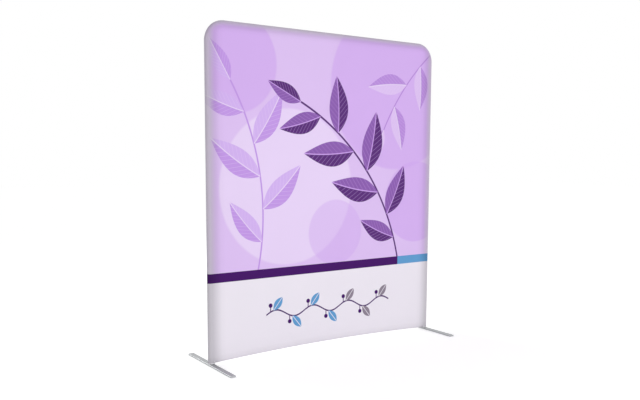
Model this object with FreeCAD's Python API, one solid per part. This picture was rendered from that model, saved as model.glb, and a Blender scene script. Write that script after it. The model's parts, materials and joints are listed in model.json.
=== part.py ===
import FreeCAD, Part
import math
import os

from FreeCAD import Vector

# A free-standing display wall: a frame of round tube under a stretched cover, on two flat feet.
# Sizes are in millimetres. X runs along the wall, the front looks along -Y, and +Z is up.
# The origin is on the floor under the middle of the wall.

# The whole wall, over its cover
wall_width = 1990.0
wall_height = 2300.0

# Frame tube
tube_diameter = 38.0
tube_wall = 1.6
tube_end_gap = 0.3
corner_bend_radius = 120.0
corner_leg_length = 180.0
upright_joint_height = 1150.0
rail_bow = 25.0

# Cover
cloth_thickness = 0.8
cloth_gap = 0.3
cover_lift = 2.0
corner_flap = 22.0

# Foot
foot_length = 648.0
foot_width = 40.0
foot_thickness = 10.0
foot_corner = 2.0
foot_chamfer = 0.8
pad_length = 60.0
pad_width = 32.0
pad_thickness = 2.0
pad_inset = 6.0
washer_thickness = 1.0
washer_radius = 15.0

# Foot screw and the threaded plug above it
foot_screw_radius = 5.0
foot_screw_grip = 12.0
screw_head_radius = 9.5
screw_head_recess = 1.0
screw_socket_width = 6.0
screw_socket_depth = 3.0
swivel_clearance = 0.08
head_clearance = 0.1
thread_clearance = 0.05
plug_length = 50.0
plug_clearance = 0.1
plug_thread_spare = 3.0
plug_chamfer = 1.0

# Sleeve inside each tube joint
sleeve_wall = 2.0
sleeve_clearance = 0.3
sleeve_reach = 75.0
rivet_radius = 2.4
rivet_hole_clearance = 0.05
rivet_head_radius = 4.5
rivet_head_height = 1.2
rivet_tail_radius = 3.2
rivet_tail_height = 1.5
rivet_inset = 20.0
rivet_pitch = 32.0

# Snap button and its leaf spring
button_offset = 58.0
button_radius = 4.0
button_proud = 3.0
button_round = 1.2
button_hole_clearance = 0.25
button_sink = 0.1
flange_radius = 5.5
flange_thickness = 1.0
flange_gap = 0.15
leaf_thickness = 0.6
leaf_width = 9.0
leaf_bend_radius = 3.0
leaf_knee_radius = 4.0
leaf_rest = 8.0
leaf_tail = 12.0
leaf_seat_gap = 0.05
leaf_slope = math.radians(30.0)

# Stub that carries each end of the bottom rail
stub_neck = 10.0
saddle_gap = 0.05
stub_bolt_radius = 3.0
stub_bolt_clearance = 0.3
stub_bolt_past_axis = 12.0
stub_bolt_spare = 1.0
bolt_head_radius = 5.0
bolt_head_height = 6.0
bolt_socket_width = 5.0
bolt_socket_depth = 3.0

# Zip along the bottom of the back
tape_width = 12.0
tooth_width = 3.0
tooth_thickness = 2.0
tooth_gap = 0.05
zip_end_gap = 2.5
zip_margin = 12.0
stop_length = 3.0
stop_gap = 0.3
slider_length = 12.0
slider_front_width = 11.0
slider_rear_width = 9.0
slider_clearance = 0.3
slider_plate = 1.2
slider_lip = 0.7
slider_tape_gap = 0.3
wedge_length = 5.0
wedge_width = 3.0
wedge_inset = 0.5
crown_length = 10.0
crown_width = 2.0
crown_thickness = 1.2
crown_opening = 1.8
pull_bar_radius = 0.6
pull_side_gap = 0.6
pull_width = 7.0
pull_length = 24.0
pull_thickness = 1.0
pull_slot_spare = 0.8
pull_round = 2.0

# One overrun serves every cut
overrun = 1.0

# Places that follow from the sizes above
tube_radius = tube_diameter / 2
bore_radius = tube_radius - tube_wall
cover_inside = tube_radius + cloth_gap
cover_outside = cover_inside + cloth_thickness
upright_x = wall_width / 2 - cover_outside
top_z = wall_height - cover_outside
bend_z = top_z - corner_bend_radius
bend_x = upright_x - corner_bend_radius
foot_top = pad_thickness + foot_thickness
upright_foot_z = foot_top + washer_thickness
cover_foot_z = upright_foot_z + cover_lift
rail_end_z = cover_foot_z + cover_outside
rail_top_z = rail_end_z + rail_bow
bow_radius = (upright_x * upright_x + rail_bow * rail_bow) / (2 * rail_bow)
bow_centre = Vector(0, 0, rail_top_z - bow_radius)
rail_half = bow_radius * math.asin(upright_x / bow_radius)
sleeve_outside = bore_radius - sleeve_clearance
sleeve_inside = sleeve_outside - sleeve_wall
stub_reach = tube_radius + stub_neck

along_x = Vector(1, 0, 0)
along_y = Vector(0, 1, 0)
along_z = Vector(0, 0, 1)
sides = (("left", -1), ("right", 1))
nodes = {}


def disc(radius, centre, axis):
    """A round face."""
    return Part.Face(Part.Wire(Part.makeCircle(radius, centre, axis)))


def ring_face(outer, inner, centre, axis):
    """A flat ring."""
    return disc(outer, centre, axis).cut(disc(inner, centre, axis))


def rod(radius, start, end):
    """A solid round bar between two points."""
    return disc(radius, start, end - start).extrude(end - start)


def tube_run(outer, inner, start, end):
    """A straight tube between two points."""
    return rod(outer, start, end).cut(rod(inner, start, end))


def box(low, high):
    """A box between two corners."""
    size = high - low
    return Part.makeBox(size.x, size.y, size.z, low)


def polygon(points):
    """A flat face with straight edges."""
    return Part.Face(Part.makePolygon(list(points) + [points[0]]))


def sector_face(centre, first, second, inner, outer, end):
    """A sector of a flat ring, whose angle runs from the first direction to the second."""

    def at(radius, angle):
        return centre + first * (radius * math.cos(angle)) + second * (radius * math.sin(angle))

    edges = [
        Part.Arc(at(outer, 0), at(outer, end / 2), at(outer, end)).toShape(),
        Part.LineSegment(at(outer, end), at(inner, end)).toShape(),
        Part.Arc(at(inner, end), at(inner, end / 2), at(inner, 0)).toShape(),
        Part.LineSegment(at(inner, 0), at(outer, 0)).toShape(),
    ]
    return Part.Face(Part.Wire(edges))


def joined(shapes):
    """One solid made of solids that share faces."""
    return shapes[0].multiFuse(shapes[1:]).removeSplitter()


def mirrored(shape):
    """The same shape on the other side of the wall's middle."""
    return shape.mirror(Vector(0, 0, 0), along_x)


def for_side(shape, sign):
    """A shape drawn for the left side, put on the side with that sign."""
    return shape.copy() if sign < 0 else mirrored(shape)


def bow_angle(distance):
    """The angle, in degrees, of a distance along the bottom rail from its middle."""
    return math.degrees(distance / bow_radius)


def on_bow(shape, distance):
    """Moves a shape from the top of the bow along it."""
    moved = shape.copy()
    moved.rotate(bow_centre, along_y, bow_angle(distance))
    return moved


def along_bow(face, start, end):
    """Sweeps a face, drawn at the top of the bow, along it."""
    return on_bow(face, start).revolve(bow_centre, along_y, bow_angle(end - start))


def bow_point(distance, rise=0):
    """A point on the bottom rail's centreline, or above it."""
    angle = distance / bow_radius
    outward = Vector(math.sin(angle), 0, math.cos(angle))
    return bow_centre + outward * (bow_radius + rise)


def bow_height(x, rise=0):
    """The height of that line at a place along the wall."""
    radius = bow_radius + rise
    return bow_centre.z + math.sqrt(radius * radius - x * x)


def placed(shape, joint):
    """Moves a shape from joint space, where X runs into the free tube and Z points to the button."""
    origin, axial, radial = joint["origin"], joint["axial"], joint["radial"]
    across = radial.cross(axial)
    moved = shape.copy()
    moved.Placement = FreeCAD.Placement(origin, FreeCAD.Rotation(axial, across, radial, "XZY"))
    return moved


# Tube joints. The sleeve is riveted in the fixed tube, and the free tube slides over it.
def joint_at(origin, axial, radial, fixed, free):
    return {"origin": origin, "axial": axial, "radial": radial, "fixed": fixed, "free": free}


def other_side(vector):
    return Vector(-vector.x, vector.y, vector.z)


def mirrored_joint(joint):
    names = [joint[key].replace("left", "right") for key in ("fixed", "free")]
    places = [other_side(joint[key]) for key in ("origin", "axial", "radial")]
    return joint_at(*places, *names)


def stub_joint():
    """The bottom rail's joint beside the left upright, square to the rail where the spigot is."""
    angle = (stub_reach + sleeve_reach / 2 - rail_half) / bow_radius
    axial = Vector(math.cos(angle), 0, -math.sin(angle))
    radial = Vector(math.sin(angle), 0, math.cos(angle))
    origin = bow_point(stub_reach - rail_half)
    return joint_at(origin, axial, radial, "rail_stub_left", "bottom_rail_left")


corner_joint_x = bend_x - corner_leg_length
sided_joints = {
    "upright": joint_at(
        Vector(-upright_x, 0, upright_joint_height),
        along_z,
        along_x,
        "lower_upright_left",
        "corner_pole_left",
    ),
    "corner": joint_at(
        Vector(-corner_joint_x, 0, top_z),
        along_x,
        -along_z,
        "corner_pole_left",
        "top_rail_left",
    ),
    "stub": stub_joint(),
}
joints = {
    "top": joint_at(Vector(0, 0, top_z), along_x, -along_z, "top_rail_left", "top_rail_right"),
    "bottom": joint_at(bow_point(0), along_x, along_z, "bottom_rail_left", "bottom_rail_right"),
}
for place, left_joint in sided_joints.items():
    joints[place + "_left"] = left_joint
    joints[place + "_right"] = mirrored_joint(left_joint)


# Tubes of the frame
def frame_tube(start, end):
    return tube_run(tube_radius, bore_radius, start, end)


def lower_upright():
    """From the foot to the joint halfway up."""
    foot = Vector(-upright_x, 0, upright_foot_z)
    return frame_tube(foot, Vector(-upright_x, 0, upright_joint_height - tube_end_gap))


def corner_pole():
    """The upper upright, the corner's bend and a short leg along the top."""
    foot = Vector(-upright_x, 0, upright_joint_height)
    bend_start = Vector(-upright_x, 0, bend_z)
    bend_end = Vector(-bend_x, 0, top_z)
    section = ring_face(tube_radius, bore_radius, bend_start, along_z)
    bend = section.revolve(Vector(-bend_x, 0, bend_z), along_y, 90)
    leg_end = Vector(-corner_joint_x - tube_end_gap, 0, top_z)
    return joined([frame_tube(foot, bend_start), bend, frame_tube(bend_end, leg_end)])


def top_rail():
    """Half of the top rail."""
    start = Vector(-corner_joint_x, 0, top_z)
    return frame_tube(start, Vector(-tube_end_gap / 2, 0, top_z))


def bottom_rail():
    """Half of the bowed bottom rail, from the stub to the middle."""
    section = ring_face(tube_radius, bore_radius, bow_point(0), along_x)
    return along_bow(section, stub_reach - rail_half + tube_end_gap, -tube_end_gap / 2)


tube_makers = {
    "lower_upright": lower_upright,
    "corner_pole": corner_pole,
    "top_rail": top_rail,
    "bottom_rail": bottom_rail,
}
for tube_name, maker in tube_makers.items():
    left_tube = maker()
    for side, sign in sides:
        nodes[tube_name + "_" + side] = for_side(left_tube, sign)


# Sleeves, stubs and what holds them
def button_hole():
    """The hole for a snap button through the tube wall, in joint space."""
    low = Vector(button_offset, 0, 0)
    return rod(button_radius + button_hole_clearance, low, low + along_z * tube_diameter)


def rivet_places():
    return [Vector(-rivet_inset - rivet_pitch * step, 0, 0) for step in range(2)]


def rivet_holes():
    radius = rivet_radius + rivet_hole_clearance
    return [rod(radius, place, place + along_z * tube_diameter) for place in rivet_places()]


def sleeve():
    """A short tube inside both tubes of a joint."""
    reach = along_x * sleeve_reach
    body = tube_run(sleeve_outside, sleeve_inside, -reach, reach)
    return body.cut([button_hole()] + rivet_holes())


def hexagon_socket(width, centre, axis_end):
    """A six-sided key socket from its floor to its mouth."""
    corner = width / math.sqrt(3)
    step = math.radians(60)
    direction = axis_end - centre
    first = along_y if abs(direction.x) > 0 else along_x
    second = direction.cross(first).normalize()
    points = []
    for index in range(6):
        spread = first * math.cos(index * step) + second * math.sin(index * step)
        points.append(centre + spread * corner)
    return polygon(points).extrude(direction)


def stub():
    """A solid neck against the upright, with a hollow spigot that goes into the rail."""
    neck = rod(tube_radius, -along_x * stub_reach, Vector(0, 0, 0))
    spigot = tube_run(sleeve_outside, sleeve_inside, Vector(0, 0, 0), along_x * sleeve_reach)
    hole_radius = stub_bolt_radius + stub_bolt_clearance
    hole = rod(hole_radius, -along_x * (stub_reach + overrun), along_x * overrun)
    body = joined([neck, spigot]).cut([hole, button_hole()])
    foot = Vector(-upright_x, 0, 0)
    saddle = rod(tube_radius + saddle_gap, foot, foot + along_z * (rail_end_z + tube_diameter))
    return placed(body, sided_joints["stub"]).cut(saddle)


def stub_bolt():
    """A cap screw from inside the spigot, through the neck and the tube wall, into the plug."""
    shank_end = -along_x * (stub_reach + stub_bolt_past_axis)
    shank = rod(stub_bolt_radius, shank_end, Vector(0, 0, 0))
    head = rod(bolt_head_radius, Vector(0, 0, 0), along_x * bolt_head_height)
    floor = along_x * (bolt_head_height - bolt_socket_depth)
    socket = hexagon_socket(bolt_socket_width, floor, along_x * (bolt_head_height + overrun))
    return placed(joined([shank, head]).cut(socket), sided_joints["stub"])


def bolt_bore(radius):
    """The bore for that bolt, through the tube wall and into the plug."""
    end = -along_x * (stub_reach + stub_bolt_past_axis + stub_bolt_spare)
    return placed(rod(radius, end, along_x * overrun), sided_joints["stub"])


def rivet(place):
    """A blind rivet: head on the tube, shank, and tail under the sleeve's wall."""
    tail_top = math.sqrt(sleeve_inside**2 - rivet_tail_radius**2) - leaf_seat_gap
    tail = rod(
        rivet_tail_radius,
        place + along_z * (tail_top - rivet_tail_height),
        place + along_z * tail_top,
    )
    shank = rod(rivet_radius, place + along_z * tail_top, place + along_z * tube_radius)
    head_top = place + along_z * (tube_radius + rivet_head_height)
    head = rod(rivet_head_radius, place + along_z * tube_radius, head_top)
    return joined([tail, shank, head])


def end_plug():
    """A solid plug in the upright's foot end, threaded for the foot screw and the stub's bolt."""
    foot = Vector(-upright_x, 0, upright_foot_z)
    body = rod(bore_radius - plug_clearance, foot, foot + along_z * plug_length)
    body = body.makeChamfer(plug_chamfer, body.Edges)
    thread_end = foot + along_z * (foot_screw_grip + plug_thread_spare)
    thread = rod(foot_screw_radius + thread_clearance, foot - along_z * overrun, thread_end)
    return body.cut([thread, bolt_bore(stub_bolt_radius + thread_clearance)])


left_plug = end_plug()
left_stub = stub()
left_bolt = stub_bolt()
wall_bore = bolt_bore(stub_bolt_radius + stub_bolt_clearance)
for side, sign in sides:
    nodes["end_plug_" + side] = for_side(left_plug, sign)
    nodes["rail_stub_" + side] = for_side(left_stub, sign)
    upright = "lower_upright_" + side
    nodes[upright] = nodes[upright].cut(for_side(wall_bore, sign))
nodes["stub_bolts"] = Part.makeCompound([for_side(left_bolt, sign) for side, sign in sides])

rivets = []
for place, joint in joints.items():
    nodes[joint["free"]] = nodes[joint["free"]].cut(placed(button_hole(), joint))
    if not place.startswith("stub"):
        holes = [placed(hole, joint) for hole in rivet_holes()]
        nodes[joint["fixed"]] = nodes[joint["fixed"]].cut(holes)
        nodes[place + "_sleeve"] = placed(sleeve(), joint)
        rivets += [placed(rivet(spot), joint) for spot in rivet_places()]
nodes["sleeve_rivets"] = Part.makeCompound(rivets)


# Snap buttons. The flange bears on the inside of the sleeve, and the leaf spring pushes it there.
flange_top = math.sqrt(sleeve_inside**2 - flange_radius**2) - flange_gap
flange_foot = flange_top - flange_thickness
button_travel = button_proud + tube_wall + sleeve_clearance + button_sink


def snap_button():
    low = Vector(button_offset, 0, flange_foot)
    flange = rod(flange_radius, low, low + along_z * flange_thickness)
    high = Vector(button_offset, 0, tube_radius + button_proud)
    head = rod(button_radius, low, high)
    rim = [edge for edge in head.Edges if edge.CenterOfMass.isEqual(high, overrun)]
    return joined([flange, head.makeFillet(button_round, rim)])


def leaf_spring():
    """A bent strip: a leg on the sleeve's far wall, a tight bend, a slope and a rest for the flange."""
    seat = math.sqrt(sleeve_inside**2 - (leaf_width / 2) ** 2) - leaf_seat_gap
    low = leaf_thickness / 2 - seat
    high = flange_foot - leaf_thickness / 2
    sine, cosine = math.sin(leaf_slope), math.cos(leaf_slope)
    knee_x = button_offset - leaf_rest
    knee = Vector(knee_x, 0, high - leaf_knee_radius)
    rise = (knee.z + leaf_knee_radius * cosine) - (low + leaf_bend_radius * (1 + cosine))
    bend_x_place = knee_x - (leaf_knee_radius - leaf_bend_radius) * sine - rise / math.tan(leaf_slope)
    bend = Vector(bend_x_place, 0, low + leaf_bend_radius)

    def around(centre, radius, angle):
        return centre + Vector(math.cos(angle), 0, math.sin(angle)) * radius

    up = math.radians(90)
    turned = up + leaf_slope
    start = Vector(button_offset + leaf_tail, 0, low)
    slope_start = around(bend, leaf_bend_radius, turned)
    slope_end = around(knee, leaf_knee_radius, turned)
    knee_top = around(knee, leaf_knee_radius, up)
    bend_foot = around(bend, leaf_bend_radius, -up)
    bend_back = around(bend, leaf_bend_radius, 2 * up)
    knee_side = around(knee, leaf_knee_radius, up + leaf_slope / 2)
    path = Part.Wire(
        [
            Part.LineSegment(start, bend_foot).toShape(),
            Part.Arc(bend_foot, bend_back, slope_start).toShape(),
            Part.LineSegment(slope_start, slope_end).toShape(),
            Part.Arc(slope_end, knee_side, knee_top).toShape(),
            Part.LineSegment(knee_top, Vector(button_offset + leaf_rest, 0, high)).toShape(),
        ]
    )
    half = Vector(0, leaf_width / 2, leaf_thickness / 2)
    flip = Vector(0, -half.y, half.z)
    corners = [start - half, start - flip, start + half, start + flip]
    sweep = Part.BRepOffsetAPI.MakePipeShell(path)
    sweep.setBiNormalMode(along_y)
    sweep.add(Part.makePolygon(corners + [corners[0]]))
    sweep.build()
    sweep.makeSolid()
    return sweep.shape()


for place, joint in joints.items():
    nodes["snap_button_" + place] = placed(snap_button(), joint)
    nodes["leaf_spring_" + place] = placed(leaf_spring(), joint)


# Feet
def foot_plate():
    """A flat bar across the wall, countersunk from below for its screw."""
    half = Vector(foot_width / 2, foot_length / 2, 0)
    centre = Vector(-upright_x, 0, pad_thickness)
    plate = box(centre - half, centre + half + along_z * foot_thickness)
    uprights = [edge for edge in plate.Edges if edge.BoundBox.ZLength > foot_thickness / 2]
    plate = plate.makeFillet(foot_corner, uprights)
    rim = [edge for edge in plate.Edges if edge.BoundBox.ZMin > foot_top - foot_chamfer]
    plate = plate.makeChamfer(foot_chamfer, rim)
    bore = foot_screw_radius + swivel_clearance
    head = screw_head_radius + head_clearance
    cone_foot = centre + along_z * screw_head_recess
    cone = Part.makeCone(head, bore, head - bore, cone_foot, along_z)
    mouth = rod(head, centre - along_z * overrun, cone_foot)
    hole = rod(bore, centre, centre + along_z * (foot_thickness + overrun))
    return plate.cut([cone, mouth, hole])


def foot_screw():
    """A countersunk screw, its head sunk in the plate and its end in the plug."""
    foot = Vector(-upright_x, 0, pad_thickness + screw_head_recess)
    height = screw_head_radius - foot_screw_radius
    head = Part.makeCone(screw_head_radius, foot_screw_radius, height, foot, along_z)
    top = Vector(-upright_x, 0, upright_foot_z + foot_screw_grip)
    shank = rod(foot_screw_radius, foot + along_z * height, top)
    floor = foot + along_z * screw_socket_depth
    socket = hexagon_socket(screw_socket_width, floor, foot - along_z * overrun)
    return joined([head, shank]).cut(socket)


def foot_washer():
    low = Vector(-upright_x, 0, foot_top)
    bore = foot_screw_radius + swivel_clearance
    return tube_run(washer_radius, bore, low, low + along_z * washer_thickness)


def foot_pads():
    """A pad under each end of the plate."""
    half = Vector(pad_width / 2, pad_length / 2, 0)
    reach = foot_length / 2 - pad_inset - half.y
    pads = []
    for sign in (-1, 1):
        centre = Vector(-upright_x, sign * reach, 0)
        pads.append(box(centre - half, centre + half + along_z * pad_thickness))
    return Part.makeCompound(pads)


foot_makers = {
    "foot_plate": foot_plate,
    "foot_screw": foot_screw,
    "foot_washer": foot_washer,
    "foot_pads": foot_pads,
}
for foot_name, maker in foot_makers.items():
    left_piece = maker()
    for side, sign in sides:
        nodes[foot_name + "_" + side] = for_side(left_piece, sign)


# Cover. Each panel is a flat sheet that turns a quarter round the tubes to the wall's mid-plane.
flap_x = upright_x - corner_flap
flap_bow = bow_radius * math.asin(flap_x / bow_radius)
zip_height = 2 * tape_width + 2 * tooth_width
zip_centre = tape_width + tooth_width


def sheet_outline(lower_rise):
    """The flat sheet's outline, whose lower edge lies above the rail's centreline by that rise."""

    def bend_point(sign):
        offset = corner_bend_radius * math.sqrt(0.5)
        return Vector(sign * (bend_x + offset), 0, bend_z + offset)

    def at(x, z):
        return Vector(x, 0, z)

    def lines(*points):
        return [Part.LineSegment(a, b).toShape() for a, b in zip(points, points[1:])]

    flap_z = bow_height(flap_x, lower_rise)
    low_left, low_right = at(-flap_x, flap_z), at(flap_x, flap_z)
    low_middle = at(0, bow_height(0, lower_rise))
    side_left, side_right = at(-upright_x, bend_z), at(upright_x, bend_z)
    top_left, top_right = at(-bend_x, top_z), at(bend_x, top_z)
    edges = lines(
        low_left, at(-flap_x, cover_foot_z), at(-upright_x, cover_foot_z), side_left
    )
    edges += [Part.Arc(side_left, bend_point(-1), top_left).toShape()]
    edges += lines(top_left, top_right)
    edges += [Part.Arc(top_right, bend_point(1), side_right).toShape()]
    edges += lines(
        side_right, at(upright_x, cover_foot_z), at(flap_x, cover_foot_z), low_right
    )
    edges += [Part.Arc(low_right, low_middle, low_left).toShape()]
    return Part.Face(Part.Wire(edges))


def panel(front, lower_rise):
    """The flat sheet with its wrapped sides, corners and top; front is -Y or +Y."""
    quarter = math.radians(90)
    flat = sheet_outline(lower_rise)
    flat.translate(front * cover_inside)
    pieces = [flat.extrude(front * cloth_thickness)]
    side_foot = Vector(-upright_x, 0, cover_foot_z)
    wrap = sector_face(side_foot, front, -along_x, cover_inside, cover_outside, quarter)
    left = wrap.extrude(along_z * (bend_z - cover_foot_z))
    wrap.translate(along_z * (bend_z - cover_foot_z))
    corner = wrap.revolve(Vector(-bend_x, 0, bend_z), along_y, 90)
    pieces += [left, corner, mirrored(left), mirrored(corner)]
    top_start = Vector(-bend_x, 0, top_z)
    edge = sector_face(top_start, front, along_z, cover_inside, cover_outside, quarter)
    pieces.append(edge.extrude(along_x * (2 * bend_x)))
    return pieces


def front_panel():
    """The printed panel. It also goes round under the bottom rail, to the zip at the back."""
    half_turn = math.radians(180)
    wrap = sector_face(bow_point(0), -along_y, -along_z, cover_inside, cover_outside, half_turn)
    return joined(panel(-along_y, 0) + [along_bow(wrap, -flap_bow, flap_bow)])


def back_panel():
    """The plain panel, which ends above the zip."""
    return joined(panel(along_y, zip_height))


nodes["front_panel"] = front_panel()
nodes["back_panel"] = back_panel()


# Zip. Its places along the wall are distances along the bow, and the closed end is on the left.
zip_end = flap_bow - zip_end_gap
slider_rest = -zip_end + zip_margin + stop_length + stop_gap + slider_length / 2
slider_open = zip_end - zip_margin - stop_length - stop_gap - slider_length / 2
chain_start = slider_rest
chain_end = slider_open + slider_length / 2 + stop_gap
cloth_middle = (cover_inside + cover_outside) / 2
chain_inside = cloth_middle - tooth_thickness / 2
chain_outside = cloth_middle + tooth_thickness / 2


def zip_section(low, high, inside, outside):
    """A rectangle in the zip's section, from one height above the rail's centreline to another."""
    middle = bow_point(0)
    points = [(inside, low), (outside, low), (outside, high), (inside, high)]
    return polygon([middle + Vector(0, y, z) for y, z in points])


def zip_strip(low, high, inside, outside, start, end):
    return along_bow(zip_section(low, high, inside, outside), start, end)


def tape(low):
    return zip_strip(low, low + tape_width, cover_inside, cover_outside, -zip_end, zip_end)


def tooth_row(low, start, end):
    return zip_strip(low, low + tooth_width - tooth_gap, chain_inside, chain_outside, start, end)


nodes["zip_tape_lower"] = tape(0)
nodes["zip_tape_upper"] = tape(zip_height - tape_width)
nodes["zip_teeth_lower"] = tooth_row(tape_width, chain_start, chain_end)
nodes["zip_teeth_upper"] = tooth_row(zip_centre + tooth_gap, chain_start, chain_end)


def zip_stops():
    """Two small stops at the closed end, one on each tape, and one wide stop at the open end."""
    closed = slider_rest - slider_length / 2 - stop_gap
    stops = [
        tooth_row(low, closed - stop_length, closed) for low in (tape_width, zip_centre + tooth_gap)
    ]
    high = zip_height - tape_width
    wide = zip_strip(
        tape_width, high, chain_inside, chain_outside, chain_end, chain_end + stop_length
    )
    return Part.makeCompound(stops + [wide])


nodes["zip_stops"] = zip_stops()

# The slider in its own space: X along the zip, Y out of the back, Z across the tapes.
outer_plate = chain_outside + slider_clearance
inner_plate = chain_inside - slider_clearance
slider_lip_depth = outer_plate - cover_outside - slider_tape_gap
crown_foot = outer_plate + slider_plate
pivot_y = crown_foot + crown_opening / 2


def slider_outline(y):
    """The slider's plan, wider at its front end, where the two tapes come in."""
    front, rear = slider_front_width / 2, slider_rear_width / 2
    reach = slider_length / 2
    corners = [(-reach, -front), (reach, -rear), (reach, rear), (-reach, front)]
    return polygon([Vector(x, y, z) for x, z in corners])


def slider_side(y, way):
    """One plate of the slider with a lip along each edge, cut back so that the tapes pass. way is 1
    for the plate outside the cloth and -1 for the one inside."""
    plate = slider_outline(y).extrude(along_y * way * slider_plate)
    lips = slider_outline(y).extrude(-along_y * way * slider_lip_depth)
    reach = slider_length / 2 + overrun
    inner = slider_rear_width / 2 - slider_lip
    span = slider_lip_depth + overrun
    channel = box(Vector(-reach, y - span, -inner), Vector(reach, y + span, inner))
    return [plate, lips.cut(channel)]


def zip_slider():
    wedge_end = -slider_length / 2 + wedge_inset
    wedge_points = [
        Vector(wedge_end, inner_plate, 0),
        Vector(wedge_end + wedge_length / 2, inner_plate, -wedge_width / 2),
        Vector(wedge_end + wedge_length, inner_plate, 0),
        Vector(wedge_end + wedge_length / 2, inner_plate, wedge_width / 2),
    ]
    wedge = polygon(wedge_points).extrude(along_y * (outer_plate - inner_plate))
    crown_low = Vector(-crown_length / 2, crown_foot, -crown_width / 2)
    crown_top = crown_foot + crown_opening + crown_thickness
    crown = box(crown_low, Vector(crown_length / 2, crown_top, crown_width / 2))
    gap_half = crown_length / 2 - crown_thickness
    gap_low = Vector(-gap_half, crown_foot, -crown_width)
    gap = box(gap_low, Vector(gap_half, crown_foot + crown_opening, crown_width))
    pieces = slider_side(outer_plate, 1) + slider_side(inner_plate, -1)
    return joined(pieces + [wedge, crown.cut(gap)])


def zip_pull():
    """A flat tab that lies along the zip, with a round bar at its end, under the crown."""
    slot_half = crown_width / 2 + pull_side_gap
    half = pull_width / 2
    thick = pull_thickness / 2
    slot_end = crown_length / 2 + pull_slot_spare + pull_bar_radius
    tab = box(Vector(0, pivot_y - thick, -half), Vector(pull_length, pivot_y + thick, half))
    ends = [edge for edge in tab.Edges if edge.BoundBox.YLength > thick]
    far = [edge for edge in ends if edge.CenterOfMass.x > pull_length / 2]
    tab = tab.makeFillet(pull_round, far)
    slot = box(
        Vector(-overrun, pivot_y - pull_thickness, -slot_half),
        Vector(slot_end, pivot_y + pull_thickness, slot_half),
    )
    bar = rod(pull_bar_radius, Vector(0, pivot_y, -half), Vector(0, pivot_y, half))
    return joined([tab.cut(slot), bar])


def on_zip(shape):
    """Moves a shape from the slider's space to the slider's place with the zip closed."""
    moved = shape.copy()
    moved.translate(bow_point(0, zip_centre))
    return on_bow(moved, slider_rest)


nodes["zip_slider"] = on_zip(zip_slider())
nodes["zip_pull"] = on_zip(zip_pull())

os.makedirs("parts", exist_ok=True)
for name, shape in nodes.items():
    shape.exportStep("parts/" + name + ".step")

# What the joints need, worked out from the sizes
zip_travel = math.degrees((slider_open - slider_rest) / bow_radius)
print("nodes", len(nodes))
print("bow centre z", bow_centre.z, "zip travel deg", zip_travel)
print("button travel", button_travel)
print("pull pivot", bow_point(slider_rest, zip_centre) + along_y * pivot_y)
print("pull axis", (bow_point(slider_rest) - bow_centre).normalize())
for place, joint in joints.items():
    print("joint", place, joint["origin"], joint["axial"], joint["radial"])
for name, shape in nodes.items():
    state = "valid" if shape.isValid() else "NOT VALID"
    print(name, len(shape.Solids), state, round(shape.Volume, 1))
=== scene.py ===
# %% [markdown]
# A tension-cloth display wall
#
# The real object is a frame of bent aluminium tube with a stretched cover pulled over it like a
# pillowcase. A zip along the bottom of the back closes the cover, and two flat metal feet keep the
# wall upright. The frame comes packed from CAD. This script gives it its looks: the cloth, the zip
# and every finish. Everything is in metres, X runs along the wall and the front looks along -Y.

# %% Load the frame
import json
import math

import bmesh
import bpy
from mathutils import Matrix, Vector


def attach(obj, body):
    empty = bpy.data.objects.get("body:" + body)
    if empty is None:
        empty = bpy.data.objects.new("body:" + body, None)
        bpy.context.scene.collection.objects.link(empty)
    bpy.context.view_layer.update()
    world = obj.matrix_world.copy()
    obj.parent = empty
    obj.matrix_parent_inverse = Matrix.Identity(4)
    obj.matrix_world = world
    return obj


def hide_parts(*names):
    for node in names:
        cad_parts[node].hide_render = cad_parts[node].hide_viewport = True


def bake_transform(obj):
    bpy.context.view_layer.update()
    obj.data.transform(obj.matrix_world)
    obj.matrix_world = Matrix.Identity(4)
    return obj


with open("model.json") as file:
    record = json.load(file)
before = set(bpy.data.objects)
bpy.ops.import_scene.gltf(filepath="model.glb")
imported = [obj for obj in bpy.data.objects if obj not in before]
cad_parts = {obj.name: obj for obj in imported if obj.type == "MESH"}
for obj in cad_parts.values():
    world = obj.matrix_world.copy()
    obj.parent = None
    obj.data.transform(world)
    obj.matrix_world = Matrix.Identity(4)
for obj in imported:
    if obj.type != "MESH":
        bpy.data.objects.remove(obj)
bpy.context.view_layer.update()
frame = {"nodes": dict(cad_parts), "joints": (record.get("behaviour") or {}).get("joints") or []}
nodes = frame["nodes"]

# %% [markdown]
# The sizes that the cloth follows
#
# The cover lies on the tubes, so its shape follows from a few of the frame's sizes. They repeat the
# named sizes of the part's own source. The bottom rail is a very flat arc, so one helper gives its
# height at any place along the wall.

# %% Sizes
CLOTH_OUTSIDE = 0.0201
CLOTH_THICKNESS = 0.0008
CORNER_BEND = 0.120
UPRIGHT_X = 0.9749
TOP_Z = 2.2799
BEND_X = UPRIGHT_X - CORNER_BEND
BEND_Z = TOP_Z - CORNER_BEND
COVER_FOOT_Z = 0.015
FLAP_X = 0.9529
RAIL_BOW = 0.025
RAIL_MIDDLE_Z = 0.0601
BOW_RADIUS = (UPRIGHT_X**2 + RAIL_BOW**2) / (2 * RAIL_BOW)
BOW_CENTRE = Vector((0, 0, RAIL_MIDDLE_Z - BOW_RADIUS))
HALF_WIDTH = UPRIGHT_X + CLOTH_OUTSIDE
WALL_TOP = TOP_Z + CLOTH_OUTSIDE
TAPE_WIDTH = 0.012
TOOTH_WIDTH = 0.003
ZIP_HEIGHT = 2 * (TAPE_WIDTH + TOOTH_WIDTH)
Y_AXIS, Z_AXIS = (0, 1, 0), (0, 0, 1)


def bow_height(x, rise=0.0):
    """The height of the bottom rail's centreline at x, or of a line above it."""
    return BOW_CENTRE.z + math.sqrt((BOW_RADIUS + rise) ** 2 - x * x)


print("bow radius", round(BOW_RADIUS, 3), "rail at its ends", round(bow_height(UPRIGHT_X), 4))

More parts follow.
